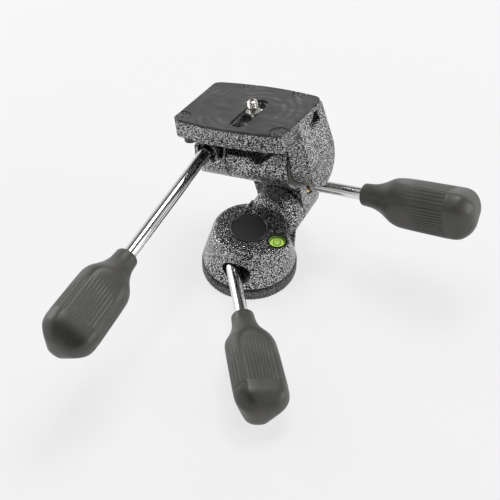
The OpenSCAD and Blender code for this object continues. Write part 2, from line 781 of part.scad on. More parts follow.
module left_cheek() {
    bar_x(left_cheek_x, left_inner_x, tip_r);
    side_slab(left_cheek_x, left_inner_x)
        polygon([[cheek_front - 1, 6], [cheek_front - 1, cast_top - 1], [cheek_back, cast_top - 1],
                 [tip_r, 0], [0, 0]]);
}

// The right cheek, a leaf that hangs from the platform and leans out from its edge
module right_cheek()
    difference() {
        side_slab(right_inner_x, right_cheek_x) union() {
            translate([leaf_y, leaf_z]) circle(r = leaf_r, $fn = fine);
            polygon([[leaf_y - leaf_r, leaf_z], [cheek_front, skirt_z + 1], [cheek_front, cast_top - 1],
                     [cheek_back, cast_top - 1], [leaf_y + leaf_r, leaf_z]]);
        }
        translate([right_cheek_x, -past / 2, leaf_slope_z]) rotate([0, -leaf_slope, 0])
            cube([past, past, past]);
    }

// The slanted window in the right cheek
module window_outline()
    polygon([[9.9, skirt_z + 7.8], [10.3, skirt_z + 1.4], [-0.3, skirt_z - 0.4], [-2.7, skirt_z + 4],
             [2.2, skirt_z + 4.9], [5.6, skirt_z + 7.8]]);

module platform()
    color("darkgray") difference() {
        union() {
            plate_frame() {
                difference() {
                    translate([0, 0, skirt_z]) linear_extrude(height = skirt_h) plate_outline(0);
                    translate([0, 0, skirt_z - 1]) linear_extrude(height = skirt_h + 1 - top_t)
                        plate_outline(wall);
                }
                translate([0, 0, cast_top - 1]) linear_extrude(height = ear_rise + 1) ears(ear_r);
                left_cheek();
                right_cheek();
            }
            tip_clamp_frame() bar_x(-far_bore_end - 1.4, boss_end, boss_r);
        }
        plate_frame() {
            translate([0, 0, skirt_z]) linear_extrude(height = skirt_h * 2) slot_outline(cast_slot_r);
            side_slab(window_floor, right_cheek_x + 1) window_outline();
            bar_x(left_cheek_x - 5, 0, shaft_r + run_fit);
            bar_x(left_cheek_x - 5, tip_shaft_left + face_gap, tip_cap_r + run_fit);
            bar_x(0, tip_shaft_right + 0.4, shaft_r + bush_wall);
            translate([relief_x, -30, relief_z]) cube([relief_w, 21, skirt_z - relief_z - 1]);
            for (p = ear_places)
                translate([p[0], p[1], cast_top + ear_rise - 0.35]) ring(1, 3, 2.5);
        }
        tip_clamp_frame() bar_x(-far_bore_end, boss_end + 5, cotter_r + run_fit);
        tip_clamp_frame() bar_x(cotter_end + 0.4, boss_end + 5, cotter_r + 0.8);
    }

module rubber_pad()
    color("#5b5b58") plate_frame() translate([0, 0, cast_top]) linear_extrude(height = pad_t)
        difference() {
            plate_outline(0.4);
            ears(ear_r + loose_fit);
            slot_outline(pad_slot_r);
        }

module tip_bush()
    color("goldenrod") plate_frame()
        ring_x(right_inner_x, right_inner_x + bush_l, shaft_r + bush_wall, shaft_r + run_fit);

module tip_end_cap()
    color("#1c1c1c") plate_frame() bar_x(left_cheek_x + 0.2, left_cheek_x + 0.2 + tip_cap_t, tip_cap_r);

// The screw: a plain neck through the slot, and the threaded end that stands above the pad
module camera_screw()
    color("gainsboro") plate_frame() translate([slot_x, screw_y, 0]) {
        translate([0, 0, hub_z])
            cylinder(h = plate_top + screw_lip - hub_z + eps, r = screw_neck_r, $fn = fine);
        translate([0, 0, plate_top + screw_lip])
            cylinder(h = screw_out - screw_lip - screw_crown, r = screw_d / 2, $fn = fine);
        translate([0, 0, plate_top + screw_out - screw_crown])
            cylinder(h = screw_crown, r1 = screw_d / 2, r2 = screw_d / 2 - screw_crown, $fn = fine);
    }

module screw_guide()
    color("lightgray") plate_frame() translate([slot_x, screw_y, cast_top - top_t - face_gap - guide_t])
        ring(guide_t, guide_r, screw_neck_r + run_fit);

module screw_clip()
    color("gainsboro") plate_frame() translate([slot_x, screw_y, cast_top + face_gap])
        ring(clip_t, screw_neck_r + 1.9, screw_neck_r + run_fit);

module screw_lever()
    color("#1c1c1c") plate_frame() translate([slot_x, screw_y, hub_z]) difference() {
        union() {
            cylinder(h = hub_t, r = hub_r, $fn = fine);
            rotate([0, 0, lever_angle]) {
                translate([0, -lever_w / 2, 0]) cube([lever_l - 3, lever_w, lever_t]);
                translate([lever_l - 3, 0, 0]) cylinder(h = lever_t + 0.6, r = lever_tip_r, $fn = fine);
            }
        }
        translate([0, 0, -1]) cylinder(h = hub_t + 2, r = screw_neck_r + run_fit, $fn = fine);
    }

// ---------------------------------------------------------------- the head

base_disc();
thread_insert();
pan_spindle();
spindle_screws();
pan_slip_washer();
pan_wave_washer();
pan_nut();
pan_body();
pan_cap();
level_cup();
level_vial();
level_lens();
lean_shaft();
lean_shaft_key();
lean_end_washer();
lean_end_screw();
pan_near_cotter();
pan_far_cotter();
pan_rod();
pan_collar();
pan_grip_core();
pan_grip();
elbow();
lean_slip_washer();
lean_end_cap();
lean_near_cotter();
lean_far_cotter();
lean_rod();
lean_collar();
lean_grip_core();
lean_grip();
tip_shaft();
tip_shaft_key();
tip_slip_washers();
tip_end_washer();
tip_end_screw();
platform();
rubber_pad();
tip_bush();
tip_end_cap();
tip_near_cotter();
tip_far_cotter();
tip_rod();
tip_collar();
tip_grip_core();
tip_grip();
camera_screw();
screw_guide();
screw_clip();
screw_lever();
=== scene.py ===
# %% [markdown]
# # A three way pan tilt head
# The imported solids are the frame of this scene: they carry the shape and the joints, and they
# aren't moved or changed. This lesson gives them their finishes, dresses what a plain solid can't
# show, such as the ribs of the grips and the thread of the camera screw, and lights the result.

# %% Load the frame
import json
import math

import bmesh
import bpy
from mathutils import Matrix, Vector


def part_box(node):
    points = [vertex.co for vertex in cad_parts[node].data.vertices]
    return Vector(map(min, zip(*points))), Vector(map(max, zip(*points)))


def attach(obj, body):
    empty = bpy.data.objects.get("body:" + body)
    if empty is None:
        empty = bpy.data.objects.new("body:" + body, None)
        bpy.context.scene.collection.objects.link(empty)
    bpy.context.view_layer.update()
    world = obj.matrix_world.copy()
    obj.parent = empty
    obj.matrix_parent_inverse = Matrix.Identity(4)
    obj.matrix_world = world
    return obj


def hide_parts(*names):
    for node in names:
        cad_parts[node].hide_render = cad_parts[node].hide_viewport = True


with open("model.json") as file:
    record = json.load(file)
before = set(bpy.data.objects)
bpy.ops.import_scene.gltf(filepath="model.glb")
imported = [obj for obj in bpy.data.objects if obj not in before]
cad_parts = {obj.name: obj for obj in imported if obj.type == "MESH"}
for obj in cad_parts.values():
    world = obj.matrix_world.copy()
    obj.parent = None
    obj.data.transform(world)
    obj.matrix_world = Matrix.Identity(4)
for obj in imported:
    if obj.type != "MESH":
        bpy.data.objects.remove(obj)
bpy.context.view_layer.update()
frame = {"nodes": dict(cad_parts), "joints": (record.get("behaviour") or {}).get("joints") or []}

joints = {joint["name"]: joint for joint in frame["joints"]}

# %% [markdown]
# ## The camera
# The photograph was taken from about 46 degrees above the table and 28 degrees to the right of
# straight ahead, with a long lens. A camera needs a place and a direction: here a point on the
# table that it looks at, two angles and a distance give both.

# %% Camera
LOOK_AT = Vector((-0.00555, 0.01139, 0.0))
PITCH, AZIMUTH, DISTANCE = math.radians(46.316), math.radians(27.7), 0.772
FOCAL_LENGTH_MM, SENSOR_WIDTH_MM, NEAREST = 86.4, 36, 0.01

lens = bpy.data.cameras.new("studio_camera")
lens.lens, lens.sensor_width, lens.clip_start = FOCAL_LENGTH_MM, SENSOR_WIDTH_MM, NEAREST
camera = bpy.data.objects.new("studio_camera", lens)
bpy.context.collection.objects.link(camera)
away = Vector((math.sin(AZIMUTH) * math.cos(PITCH), -math.cos(AZIMUTH) * math.cos(PITCH),
               math.sin(PITCH)))
camera.location = LOOK_AT + DISTANCE * away
camera.rotation_euler = (-away).to_track_quat("-Z", "Y").to_euler()
bpy.context.scene.camera = camera
print("camera at", [round(c, 4) for c in camera.location])

# %% [markdown]
# ## Writing materials as sums
# A material is a graph of nodes. Written with plain calls, a short formula takes ten lines, so a
# small class wraps a socket: adding or multiplying two of them adds the Math node for it.

# %% Signals
class Signal:
    """An output socket. Arithmetic on it adds Math nodes to its graph."""

    def __init__(self, graph, socket):
        self.graph, self.socket = graph, socket

    def _math(self, operation, first, second):
        return self.graph.node("ShaderNodeMath", {"operation": operation}, {0: first, 1: second})

    def __add__(self, other): return self._math("ADD", self, other)
    def __radd__(self, other): return self._math("ADD", other, self)
    def __sub__(self, other): return self._math("SUBTRACT", self, other)
    def __rsub__(self, other): return self._math("SUBTRACT", other, self)
    def __mul__(self, other): return self._math("MULTIPLY", self, other)
    def __rmul__(self, other): return self._math("MULTIPLY", other, self)
    def __truediv__(self, other): return self._math("DIVIDE", self, other)
    def __rtruediv__(self, other): return self._math("DIVIDE", other, self)

print("signals ready")

# %% [markdown]
# ## Every other node from one method
# Noise, ramps and mixes are nodes too. One method makes them all: it sets a node's settings
# first, because they decide which sockets the node has, and then gives each socket its value or
# its link. The sockets of a Mix node share their names, so its colours are called by number.

# %% Graphs
MIX_SHARE, MIX_BELOW, MIX_ABOVE, MIX_COLOUR = 0, 6, 7, 2


class Graph:
    """A tree of nodes that all come from one method."""

    def __init__(self, tree):
        self.tree = tree

    def node(self, kind, settings={}, inputs={}, output=0):
        made = self.tree.nodes.new(kind)
        for key, value in settings.items():
            if key == "stops":
                ramp = made.color_ramp
                while len(ramp.elements) < len(value):
                    ramp.elements.new(0.5)
                for element, (place, colour) in zip(ramp.elements, value):
                    element.position, element.color = place, (*colour, 1)
            else:
                setattr(made, key, value)
        for key, value in inputs.items():
            if isinstance(value, Signal):
                self.tree.links.new(value.socket, made.inputs[key])
            else:
                made.inputs[key].default_value = value
        return Signal(self, made.outputs[output])

    def ramp(self, signal, *stops):
        return self.node("ShaderNodeValToRGB", {"stops": stops}, {"Fac": signal})

    def mix(self, share, below, above, blend_type="MIX"):
        """One colour over another, by share."""
        above = (*above, 1) if isinstance(above, tuple) else above
        return self.node("ShaderNodeMix", {"data_type": "RGBA", "blend_type": blend_type},
                         {MIX_SHARE: share, MIX_BELOW: below, MIX_ABOVE: above}, MIX_COLOUR)

    def vector_value(self, operation, *vectors):
        """A length or a dot product, which is one number made from vectors."""
        return self.node("ShaderNodeVectorMath", {"operation": operation},
                         dict(enumerate(vectors)), "Value")

print("graphs ready")

# %% [markdown]
# ## A finish
# A finish is the graph of one material. What stays the same all over a piece is set on the
# shader's sockets, and what changes over it is fed to them. Cast and moulded edges are never
# sharp, so every bump starts from a Bevel node, which rounds the edges in the light alone.

# %% Finishes
class Finish(Graph):
    """One material: a Principled shader, and the nodes that feed it."""

    EDGE_SAMPLES = 4

    def __init__(self, name, **uniform):
        self.material = bpy.data.materials.new(name)
        self.material.use_nodes = True
        super().__init__(self.material.node_tree)
        self.shader = self.tree.nodes["Principled BSDF"]
        for socket, value in uniform.items():
            self.shader.inputs[socket.replace("_", " ")].default_value = value

    def feed(self, socket, signal):
        self.tree.links.new(signal.socket, self.shader.inputs[socket])

    def place(self):
        return self.node("ShaderNodeTexCoord", output="Object")

    def moved_place(self, **mapping):
        return self.node("ShaderNodeMapping", {}, {"Vector": self.place(), **mapping})

    def noise(self, scale, detail=2.0, roughness=0.5, where=None):
        return self.node("ShaderNodeTexNoise", {}, {
            "Vector": where or self.place(), "Scale": scale, "Detail": detail,
            "Roughness": roughness}, "Fac")

    def spread(self, signal, low, high, to_low=0.0, to_high=1.0):
        return self.node("ShaderNodeMapRange", {}, {
            "Value": signal, "From Min": low, "From Max": high,
            "To Min": to_low, "To Max": to_high})

    def bump(self, height, depth, strength, edge):
        """Dents of the given depth, on edges rounded to the given radius."""
        rounded = self.node("ShaderNodeBevel", {"samples": self.EDGE_SAMPLES}, {"Radius": edge})
        self.feed("Normal", self.node("ShaderNodeBump", {}, {
            "Height": height, "Distance": depth, "Strength": strength, "Normal": rounded}))


def grey(level):
    return (level, level, level)


def shades(colour, *factors):
    """The colour made darker or paler by each factor."""
    return [tuple(part * factor for part in colour) for factor in factors]

print("finishes ready")

# %% [markdown]
# ## Hammertone paint
# The castings wear a hammered paint: black and pale grey specks, each under a millimetre across,
# on a surface that is never quite flat. Two noises, one almost twice as fine as the other, give
# the specks, and hard steps in the ramp give them their contrast. The same signal drives the
# bumps, so a highlight breaks up into white sparks as it does on the real paint. On the platform
# a painted shade darkens the top, the raised ears, by a height along the platform's own axis.

# %% Castings
PLATE_AXIS, PLATE_EARS, PLATE_TOP = (-0.198817, 0.149535, 0.968561), 0.1051, 0.1055
TOP_SHADE_GREY, MOST_TOP_SHADE = grey(0.035), 0.75
FINER_BY = 1.9
CLOUDS, CLOUD_SHARE = 70, 0.05
DULL, GLOSSY = 0.36, 0.15


def hammertone(name, dark, middle, light, size, depth, shaded_top=False):
    """Specks of the given size in three greys, bumps of the given depth, and if asked painted shade
    on top.
    """
    paint = Finish(name, Metallic=0.78, Coat_Weight=0.1, Coat_Roughness=0.35,
                   Specular_IOR_Level=0.6)
    coarse = paint.noise(1 / size, 1.0, 0.6)
    fine = paint.noise(FINER_BY / size, 1.0, 0.5)
    drift = paint.noise(CLOUDS, 2.0, 0.5) * CLOUD_SHARE - CLOUD_SHARE / 2
    speck = coarse * 0.6 + fine * 0.4
    colour = paint.ramp(speck + drift, (0.475, grey(dark)), (0.500, grey(middle * 0.3)),
                        (0.515, grey(middle)), (0.545, grey(light)))
    # Painted shade: the higher a point along the platform's axis, the darker, up to the raised
    # ears.
    if shaded_top:
        height = paint.vector_value("DOT_PRODUCT", paint.place(), PLATE_AXIS)
        top_shade = paint.spread(height, PLATE_EARS, PLATE_TOP, 0.0, MOST_TOP_SHADE)
        colour = paint.mix(top_shade, colour, TOP_SHADE_GREY)
    paint.feed("Base Color", colour)
    paint.feed("Roughness", paint.spread(speck, 0.42, 0.58, DULL, GLOSSY))
    paint.bump(speck, depth, 1.0, edge=0.0012)
    return paint.material


casting_paint = hammertone("casting_hammertone", 0.005, 0.080, 0.78, size=0.00084, depth=0.0005)
plate_paint = hammertone("plate_hammertone", 0.008, 0.080, 0.70, size=0.00075, depth=0.0005,
                         shaded_top=True)
base_paint = hammertone("base_hammertone", 0.010, 0.06, 0.22, size=0.0006, depth=0.00015)
print("paints:", casting_paint.name, plate_paint.name, base_paint.name)

# %% [markdown]
# ## Bright metals
# The rods are chromed, the shafts are turned steel, and the pan nut, one collar and one bush are
# brass. The other two collars are drawn in a dark metal, a painted shade, as they sit in shadow.
# Polished metal has no pattern of its own: it shows the room. What it does have is a slight
# unevenness of its gloss. An image of scratches could give that, but a noise has no seam and fits
# any shape, so one noise drives both the tone and the roughness, and on all but the chrome it also
# makes a fine grain.

# %% Metals
def metal(name, colour, smooth, rough, grain=0.0, scale=900):
    bright = Finish(name, Metallic=1.0)
    marks = bright.noise(scale, 3.0, 0.6)
    low, high = shades(colour, 0.88, 1.0)
    bright.feed("Base Color", bright.ramp(marks, (0.35, low), (0.65, high)))
    bright.feed("Roughness", bright.spread(marks, 0.3, 0.7, smooth, rough))
    if grain:
        bright.bump(marks, grain, 0.6, edge=0.0002)
    return bright.material


chrome = metal("chrome", (0.82, 0.82, 0.81), 0.06, 0.12, scale=90)
# Painted shade: two collars are drawn dark because they sit in shadow.
collar_shade_metal = metal("collar_shade_metal", grey(0.10), 0.25, 0.40, 0.00002)
steel = metal("turned_steel", (0.60, 0.60, 0.59), 0.25, 0.38, 0.00002)
zinc = metal("zinc_plate", (0.52, 0.52, 0.50), 0.30, 0.45, 0.00003)
brass = metal("brass", (0.80, 0.58, 0.26), 0.16, 0.30, 0.00002)
cotter_alloy = metal("clamp_alloy", grey(0.42), 0.30, 0.50, 0.00004)
stud_steel = metal("stud_steel", (0.82, 0.79, 0.74), 0.16, 0.30, 0.00001)
print("metals:", [m.name for m in (chrome, collar_shade_metal, steel, zinc, brass, cotter_alloy,
                                   stud_steel)])

# %% [markdown]
# ## Rubber
# The grips are a warm dark grey rubber, matt, with soft clouds of a paler tone where they have
# been handled. Modelling the grain would take millions of faces, and bumps do as well at this
# size: one slow noise makes the clouds and one fine noise the grain, and the grain alone makes
# the bumps. The plastic sleeves inside the grips are made the same way.

# %% Rubber
def rubber(name, colour, rough, grain_size, depth):
    skin = Finish(name, Specular_IOR_Level=0.62, Sheen_Weight=0.05, Sheen_Roughness=0.5)
    cloud = skin.noise(60, 3.0, 0.55)
    grain = skin.noise(1 / grain_size, 2.0, 0.6)
    mixed = cloud * 0.7 + grain * 0.3
    low, high = shades(colour, 0.75, 1.3)
    skin.feed("Base Color", skin.ramp(mixed, (0.36, low), (0.64, high)))
    skin.feed("Roughness", skin.spread(mixed, 0.35, 0.65, rough - 0.05, rough + 0.08))
    skin.bump(grain, depth, 0.7, edge=0.0002)
    return skin.material


grip_rubber = rubber("grip_rubber", (0.060, 0.058, 0.050), 0.42, 0.0004, 0.00003)
core_plastic = rubber("core_plastic", grey(0.02), 0.5, 0.0005, 0.00002)
print("rubbers:", grip_rubber.name, core_plastic.name)

# %% [markdown]
# ## The worn pad
# The pad is where cameras have been clamped down. Screwing them tight has smeared its skin and
# pressed faint arcs into it round the screw. Wave textures in the ring direction make such arcs,
# and a soft patch of noise lets only a few of them through.

# %% Pad
ARCS_SHIFT = (0.0105, -0.026, -0.107)
SMEAR_TURN, SMEAR_SCALE = (0.0, 0.0, 0.7), (90.0, 260.0, 90.0)


def pad_finish():
    pad = Finish("pad_rubber", Specular_IOR_Level=0.55)
    grain = pad.noise(1900, 2.0, 0.6)
    smears = pad.noise(1.0, 4.0, 0.65, pad.moved_place(Rotation=SMEAR_TURN, Scale=SMEAR_SCALE))
    arcs = pad.node("ShaderNodeTexWave", {"wave_type": "RINGS", "rings_direction": "SPHERICAL"}, {
        "Vector": pad.moved_place(Location=ARCS_SHIFT), "Scale": 62.0, "Distortion": 1.2,
        "Detail": 2.0, "Detail Scale": 3.0})
    patch = pad.spread(pad.noise(42, 2.0, 0.5), 0.5, 0.62)
    worn = smears * 0.6 + grain * 0.25 + arcs * patch * 0.16
    pad.feed("Base Color", pad.ramp(
        worn, (0.32, (0.016, 0.018, 0.016)), (0.45, (0.046, 0.048, 0.045)),
        (0.58, (0.082, 0.084, 0.079)), (0.72, (0.19, 0.19, 0.18))))
    pad.feed("Roughness", pad.spread(worn, 0.35, 0.7, 0.42, 0.62))
    pad.bump(worn, 0.00025, 0.8, edge=0.0003)
    return pad.material


pad_rubber = pad_finish()
print("pad:", pad_rubber.name)

# %% [markdown]
# ## Plastics
# The cap over the spindle, the end caps and the lever are black plastic with a satin skin, and
# the slip washers are a paler one. One plain dark colour would make a flat cap look like a hole,
# so slow clouds vary its tone and its gloss a little, and a thin coat gives it its sheen.

# %% Plastics
def plastic(name, colour, rough):
    shell = Finish(name, Coat_Weight=0.15, Coat_Roughness=0.2)
    cloud = shell.noise(60, 2.0, 0.5)
    low, high = shades(colour, 0.88, 1.14)
    shell.feed("Base Color", shell.ramp(cloud, (0.35, low), (0.65, high)))
    shell.feed("Roughness", shell.spread(cloud, 0.35, 0.65, rough - 0.03, rough + 0.03))
    shell.bump(shell.noise(2500, 1.0), 0.00001, 0.5, edge=0.0004)
    return shell.material


black_plastic = plastic("black_plastic", (0.046, 0.046, 0.045), 0.30)
level_wall = plastic("level_wall", (0.012, 0.020, 0.008), 0.30)
slip_plastic = plastic("slip_plastic", (0.16, 0.155, 0.14), 0.5)
print("plastics:", black_plastic.name, level_wall.name, slip_plastic.name)

# %% [markdown]
# ## The level
# A round level is a cup of bright green fluid under a clear window with a ring printed on it and
# a bubble beneath. The pattern is drawn from the distance to the cup's middle, so a Mapping node
# first moves that middle to the origin. The window is kept mostly see-through with Alpha, since
# a refracting one would shade the fluid under it.

# %% Rings round the level's middle
MM_PER_METRE = 1000
level_low, level_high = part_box("level_cup")
level_middle = [(a + b) / 2 for a, b in zip(level_low, level_high)]


def from_middle(finish, shift=(0.0, 0.0)):
    """The distance in millimetres from the cup's middle, seen from above."""
    flat = finish.moved_place(
        Location=(-level_middle[0] - shift[0], -level_middle[1] - shift[1], 0.0),
        Scale=(1.0, 1.0, 0.0))
    return finish.vector_value("LENGTH", flat) * MM_PER_METRE


def ring_at(finish, reach, middle, width):
    """One on a circle of the given radius, fading to nothing on both sides."""
    return (finish.spread(reach, middle - width, middle - width * 0.4)
            * (1 - finish.spread(reach, middle + width * 0.4, middle + width)))

print("level at", [round(c, 4) for c in level_middle])

# %% [markdown]
# ## The level's fluid
# The fluid has a painted glow: an emission that shines whatever light falls on it. Its green
# darkens to near black at the cup's wall, a painted shade of that wall. The bubble is a painted
# shade ring round a painted highlight, set a little off centre as in the photograph.

# %% Fluid
FLUID_REACH, PAINTED_GLOW = 6, 0.55
BUBBLE_SHIFT, BUBBLE_RADIUS, BUBBLE_SHADE_WIDTH = (0.0003, -0.0002), 1.35, 0.35


def level_fluid():
    # Painted glow: the emission shines whatever light falls on the fluid.
    fluid = Finish("level_fluid", Roughness=0.25, Coat_Weight=0.4, Coat_Roughness=0.08,
                   Emission_Strength=PAINTED_GLOW)
    reach = from_middle(fluid)
    # Painted shade: the green darkens to near black at the cup's wall.
    green = fluid.ramp(
        reach / FLUID_REACH + fluid.noise(500, 2.0) * 0.05, (0.0, (0.56, 0.88, 0.13)),
        (0.45, (0.68, 0.97, 0.22)), (0.72, (0.60, 0.90, 0.16)), (0.80, (0.05, 0.09, 0.01)))
    # Painted shade ring round the bubble, and a painted highlight in its middle.
    bubble = from_middle(fluid, BUBBLE_SHIFT)
    rim = ring_at(fluid, bubble, BUBBLE_RADIUS, BUBBLE_SHADE_WIDTH)
    bubble_shaded = fluid.mix(rim * 0.75, green, (0.10, 0.24, 0.02))
    bubble_highlighted = fluid.mix((1 - fluid.spread(bubble, 0.4, 1.1)) * 0.7, bubble_shaded, (0.90, 1.0, 0.62))
    fluid.feed("Base Color", bubble_highlighted)
    fluid.feed("Emission Color", bubble_highlighted)
    return fluid.material


level_green = level_fluid()
print("fluid:", level_green.name)

# %% [markdown]
# ## The level's window
# The window is clear but for the printed ring and a pale green ring at its edge, which is painted
# light: the lit inner wall of the cup. Both are drawn in the colour and made less see-through in
# Alpha by the same masks.

# %% Window
PRINTED_RADIUS, PRINTED_WIDTH = 2.35, 0.30
LIT_WALL_FROM, LIT_WALL_FULL = 4.75, 4.95


def level_window():
    clear = Finish("level_window", Roughness=0.06, Specular_IOR_Level=0.6)
    reach = from_middle(clear)
    printed = ring_at(clear, reach, PRINTED_RADIUS, PRINTED_WIDTH)
    # Painted light: a pale green ring at the window's edge stands for the lit wall of the cup.
    edge = clear.spread(reach, LIT_WALL_FROM, LIT_WALL_FULL)
    tint = clear.ramp(clear.noise(400, 2.0), (0.3, (0.60, 0.80, 0.20)), (0.7, (0.70, 0.88, 0.30)))
    with_wall_light = clear.mix(edge, tint, (0.66, 0.88, 0.32))
    clear.feed("Base Color", clear.mix(printed, with_wall_light, (0.06, 0.12, 0.02)))
    clear.feed("Alpha", 0.10 + printed * 0.6 + edge * 0.65)
    return clear.material


level_lens = level_window()
print("window:", level_lens.name)

# %% [markdown]
# ## Dressing the solids
# Each solid that keeps its own shape gets its finish in its material slots. The names say what
# the piece is, so a table from finish to names is enough.

# %% Assign the finishes
DRESS = {
    casting_paint: ["pan_body", "elbow"],
    plate_paint: ["platform"],
    base_paint: ["base_disc"],
    chrome: ["pan_rod", "lean_rod", "tip_rod"],
    steel: ["thread_insert", "pan_spindle", "lean_shaft", "tip_shaft"],
    zinc: ["spindle_screws", "pan_wave_washer", "lean_shaft_key", "lean_end_washer",
           "lean_end_screw", "tip_shaft_key", "tip_end_washer", "tip_end_screw", "screw_guide",
           "screw_clip"],
    brass: ["pan_nut", "lean_collar", "tip_bush"],
    # Painted shade: these two collars are dark because they sit in shadow.
    collar_shade_metal: ["pan_collar", "tip_collar"],
    cotter_alloy: ["pan_near_cotter", "pan_far_cotter", "lean_near_cotter", "lean_far_cotter",
                   "tip_near_cotter", "tip_far_cotter"],
    slip_plastic: ["pan_slip_washer", "lean_slip_washer", "tip_slip_washers"],
    level_wall: ["level_cup"],
    black_plastic: ["pan_cap", "lean_end_cap", "tip_end_cap", "screw_lever"],
    core_plastic: ["pan_grip_core", "lean_grip_core", "tip_grip_core"],
    pad_rubber: ["rubber_pad"],
    level_green: ["level_vial"],
    level_lens: ["level_lens"],
    grip_rubber: ["pan_grip", "lean_grip", "tip_grip"],
    stud_steel: ["camera_screw"],
}
dressed = set()
for material, names in DRESS.items():
    for name in names:
        solid = frame["nodes"][name]
        solid.data.materials.clear()
        solid.data.materials.append(material)
        dressed.add(name)
print("dressed:", len(dressed), "left:", sorted(set(frame["nodes"]) - dressed))

# %% [markdown]
# ## Placing a piece on a rod
# Each handle's joint gives a point on its rod and the rod's direction. A matrix whose third
# column is that direction stands a piece that is made upright onto the rod, and a roll turns it
# about the rod, since a screwed handle stops at any angle.

# %% Rod frames
def rod_matrix(joint_name, reach, roll):
    joint = joints[joint_name]
    out = Vector(joint["axis"]).normalized()
    side = Vector((0, 0, 1)).cross(out).normalized()
    up = out.cross(side)
    turned = Matrix.Rotation(roll, 4, "Z")
    basis = Matrix((side, up, out)).transposed().to_4x4()
    return Matrix.Translation(Vector(joint["pos_m"]) + reach * out) @ basis @ turned

print("rod of the pan handle:", [round(c, 3) for c in joints["pan_handle_turn"]["axis"]])

# %% [markdown]
# ## From a bmesh to a finished piece
# Each new piece is shaped upright at the origin, where its numbers are plain. Its place is then
# written into its vertices, so the object itself stays at the origin, as the solids do, and its
# pattern doesn't slide when the piece moves.

# %% Finished pieces
MERGE = 1e-6


def finished_object(name, mesh_builder, place, material, smooth=True):
    """A bmesh made by mesh_builder, with its place written into its vertices."""
    bm = bmesh.new()
    mesh_builder(bm)
    bmesh.ops.transform(bm, matrix=place, verts=bm.verts)
    bmesh.ops.recalc_face_normals(bm, faces=bm.faces)
    mesh = bpy.data.meshes.new(name)
    bm.to_mesh(mesh)
    bm.free()
    for face in mesh.polygons:
        face.use_smooth = smooth
    piece = bpy.data.objects.new(name, mesh)
    bpy.context.collection.objects.link(piece)
    mesh.materials.append(material)
    return piece


def spun(bm, outline, steps, **climb):
    """Points joined to a line and spun about the upright axis."""
    chain = [bm.verts.new((radius, 0, height)) for height, radius in outline]
    edges = [bm.edges.new(pair) for pair in zip(chain, chain[1:])]
    bmesh.ops.spin(bm, geom=chain + edges, cent=(0, 0, 0), axis=(0, 0, 1), angle=2 * math.pi,
                   steps=steps, **(climb or {"use_merge": True}))
    bmesh.ops.remove_doubles(bm, verts=bm.verts, dist=MERGE)

print("points nearer than", MERGE, "m are merged")

# %% [markdown]
# ## The outline of a grip
# A grip is nearly a turned shape, so an outline spun about the rod is the natural start. A few
# heights and radii in millimetres give it, from the rod's end of the grip to its crown, and a
# smooth curve through them gives the points between.

# %% Outline of a grip
GRIP_OUTLINE = [
    (0, 4.2), (0, 5.6), (0.5, 6.4), (1.6, 6.9), (4.5, 7.1), (7.8, 7.5), (11, 8.4), (14.5, 9.9),
    (18, 12.0), (21.7, 14.3), (25.3, 15.6), (29, 16.1), (36, 16.4), (43, 16.6), (50.6, 16.8),
    (56.2, 16.95), (57.2, 17.05), (58.2, 16.9), (62, 16.8), (65, 16.2), (67.5, 14.9),
    (70, 12.6), (71.7, 10.2), (72.8, 7.6), (73.4, 4.5), (73.6, 0)]
OUTLINE_PARTS = 4


def between(a, b, c, d, t):
    """A value on the way from b to c, on a smooth curve that also heeds a and d."""
    return 0.5 * (2 * b + (c - a) * t + (2 * a - 5 * b + 4 * c - d) * t * t
                  + (3 * b - a - 3 * c + d) * t ** 3)


def outline_through(points, parts):
    """A smooth curve through the points, with each stretch in the given parts."""
    ends = [points[0]] + points + [points[-1]]
    fine = []
    for a, b, c, d in zip(ends, ends[1:], ends[2:], ends[3:]):
        for t in [i / parts for i in range(parts)]:
            fine.append([between(a[k], b[k], c[k], d[k], t) for k in (0, 1)])
    return fine + [points[-1]]


outline = [GRIP_OUTLINE[0]] + outline_through(GRIP_OUTLINE[1:], OUTLINE_PARTS)
print("outline points:", len(outline))

# %% [markdown]
# ## Flats and ribs
# The real grip is off the lathe: it has three long flats with soft corners between them, and
# fine ribs that fade in along the middle and stop at a thin lip. Moving the vertices of the spun
# skin makes them and keeps the skin in one piece, where cutting each rib with a boolean would be
# slow and leave ragged faces. The whole is a hair smaller than drawn, so that it stays inside
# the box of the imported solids.

# %% Spin and shape a grip
GRIP_LENGTH, MOULD_SHRINK = 0.0736, 0.9965
FLAT, CORNER_SOFTNESS, CORNER_HOLD = 0.0132, 0.0011, 1.3
FLATS_FROM, FLATS_FULL, CROWN_FROM, CROWN_RADIUS = 0.16, 0.36, 0.8, 0.0168
RIBS, RIB_DEPTH, STEPS_PER_RIB = 42, 0.0005, 8
RIBS_FROM, RIBS_FULL, RIBS_TO, RIBS_END = 0.36, 0.62, 0.775, 0.008
ON_THE_AXIS = 1e-5


def smooth_step(x, low, high):
    x = min(max((x - low) / (high - low), 0.0), 1.0)
    return x * x * (3 - 2 * x)


def softly_smaller(a, b, softness):
    """The smaller of two lengths, rounded where they meet."""
    meeting = math.log(1 + math.exp(-abs(a - b) / softness))
    return min(a, b) - softness * meeting / CORNER_HOLD


def grip_radius(radius, angle, share):
    """A lathe radius, cut by the nearest of three flats and by the ribs."""
    third = 2 * math.pi / 3
    turn = (angle - math.pi / 2) % third
    turn = min(turn, third - turn)
    full = max(radius, CROWN_RADIUS) if share > CROWN_FROM else radius
    cut = softly_smaller(full, FLAT / math.cos(turn), CORNER_SOFTNESS) / full
    shaped = radius * (1 + smooth_step(share, FLATS_FROM, FLATS_FULL) * (cut - 1))
    ribbed = (smooth_step(share, RIBS_FROM, RIBS_FULL)
              * (1 - smooth_step(share, RIBS_TO - RIBS_END, RIBS_TO)))
    return shaped - RIB_DEPTH * ribbed * max(0.0, math.cos(RIBS * angle)) ** 2


